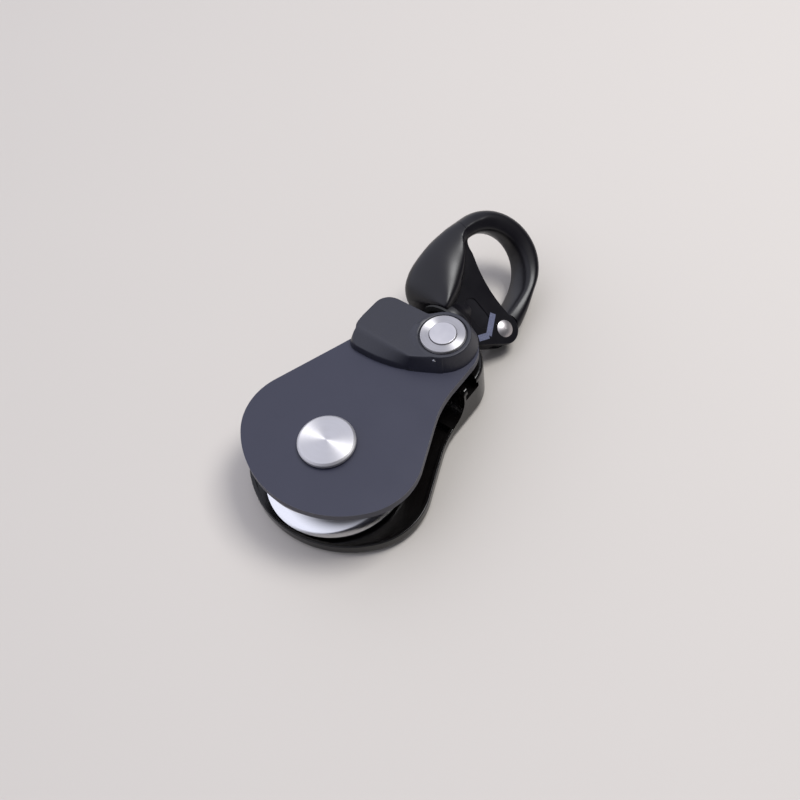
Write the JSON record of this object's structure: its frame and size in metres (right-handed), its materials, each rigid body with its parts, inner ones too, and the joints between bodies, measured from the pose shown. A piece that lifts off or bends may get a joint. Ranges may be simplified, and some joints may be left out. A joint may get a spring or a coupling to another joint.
{
  "type": "single sheave block with swivel eye",
  "caption": "Rope block: a grooved wheel on a ball bearing between a fixed and a swinging side plate, with a sprung latch lever and a gated swivel eye.",
  "frame": {"origin": "on the wheel's axis, in the plane of the fixed side's flat back face", "axes": "+Z along the wheel's axis out of the front plate, +Y along the block towards the swivel eye, +X to the right"},
  "size_m": [0.0716, 0.1501, 0.0345],
  "materials": {
    "gloss_black_metal": "gloss black anodised",
    "satin_dark_metal": "satin charcoal anodised",
    "satin_black_metal": "satin black anodised forging",
    "black_nylon": "fine moulded texture",
    "black_plastic": "matte",
    "black_rubber": "matte",
    "bright_aluminium": "turned and polished",
    "turned_steel": "circular brushed",
    "satin_steel": "satin",
    "steel": "ground",
    "dark_steel": "black oxide",
    "ball_steel": "polished",
    "bronze": "oil-impregnated bronze",
    "grey_inlay": "light grey inlay"
  },
  "bodies": {
    "fixed_side": {"frame": "gloss_black_metal", "axle": "steel", "axle_cap": "turned_steel", "cap_washer": "black_plastic", "rear_spacer": "steel", "front_spacer": "steel", "bearing_inner_ring": "steel", "swivel_bush": "bronze", "swivel_seal": "black_rubber"},
    "moving_side": {"moving_side_plate": "satin_dark_metal", "plate_bush": "bronze", "catch_stud": "steel", "stud_ring": "satin_steel", "stud_screw": "satin_steel", "lever_spring": "steel"},
    "latch": {"latch_lever": "black_nylon", "lever_pin": "steel"},
    "wheel": {"sheave": "bright_aluminium", "bearing_outer_ring": "steel", "front_shield": "steel", "rear_shield": "steel", "bearing_retainer": "steel"},
    "cage": {"bearing_cage": "bronze", "bearing_balls": "ball_steel"},
    "swivel": {"swivel_shaft": "steel", "swivel_nut": "steel", "swivel_nut_pin": "steel", "thrust_washer": "bronze", "eye_body": "satin_black_metal", "gate_rivet": "turned_steel", "eye_mark": "grey_inlay"},
    "gate": {"eye_gate": "satin_black_metal", "gate_bush": "bronze"},
    "lock_screw": {"gate_lock_screw": "dark_steel"}
  },
  "joints": [
    {"name": "side_plate_swing", "type": "hinge", "parent": "fixed_side", "child": "moving_side", "pos_m": [0, 0, 0.02525], "axis": [0, 0, -1], "range_deg": [0, 120]},
    {"name": "latch_turn", "type": "hinge", "parent": "moving_side", "child": "latch", "pos_m": [0.0092, 0.0561, 0.0298], "axis": [0, 0, 1], "range_deg": [0, 25], "stiffness_Nm_per_rad": 0.05, "springref_deg": -11.46},
    {"name": "sheave_spin", "type": "hinge", "parent": "fixed_side", "child": "wheel", "pos_m": [0, 0, 0.01345], "axis": [0, 0, 1], "continuous": true},
    {"name": "cage_spin", "type": "hinge", "parent": "fixed_side", "child": "cage", "pos_m": [0, 0, 0.01345], "axis": [0, 0, 1], "continuous": true},
    {"name": "swivel_spin", "type": "hinge", "parent": "fixed_side", "child": "swivel", "pos_m": [0, 0.0695, 0.0166], "axis": [0, 1, 0], "continuous": true},
    {"name": "gate_swing", "type": "hinge", "parent": "swivel", "child": "gate", "pos_m": [0.01274, 0.0839, 0.00628], "axis": [-0.6293, 0, -0.7771], "range_deg": [0, 60]},
    {"name": "lock_screw_out", "type": "slide", "parent": "gate", "child": "lock_screw", "axis": [0.1216, 0.9877, -0.0984], "range_m": [0, 0.0045]}
  ],
  "couplings": [
    {"joint": "cage_spin", "follows": "sheave_spin", "ratio": 0.619}
  ]
}
